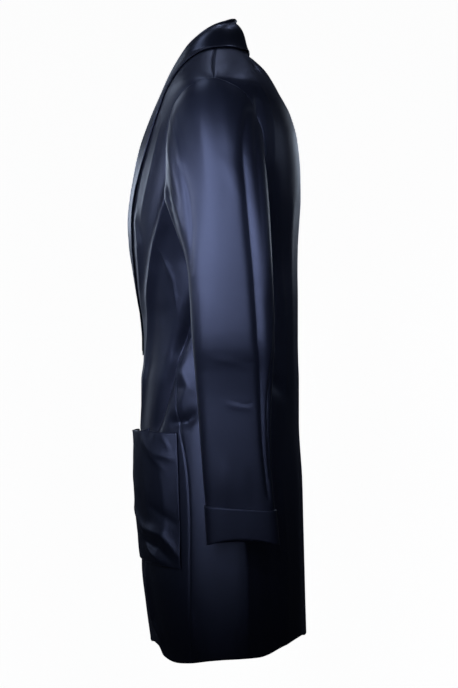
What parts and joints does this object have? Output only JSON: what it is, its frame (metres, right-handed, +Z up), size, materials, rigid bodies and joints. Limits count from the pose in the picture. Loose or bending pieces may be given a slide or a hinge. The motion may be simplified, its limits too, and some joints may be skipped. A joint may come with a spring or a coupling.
{
  "type": "silk kimono robe",
  "caption": "Short navy silk satin robe in worn form, with a folded shawl collar, set-in sleeves with sewn cuffs and patch pockets on the hips.",
  "frame": {"origin": "midway between the two points where the shoulder seams meet the neck", "axes": "+X towards the wearer's left, -Y towards the front, +Z up"},
  "size_m": [0.5782, 0.2659, 0.9276],
  "materials": {
    "silk": "satin"
  },
  "bodies": {
    "root": {"back": "silk", "front_left": "silk", "front_right": "silk", "sleeve_left": "silk", "sleeve_right": "silk", "cuff_left": "silk", "cuff_right": "silk", "collar_left": "silk", "collar_right": "silk", "pocket_left": "silk", "pocket_right": "silk"}
  },
  "joints": []
}
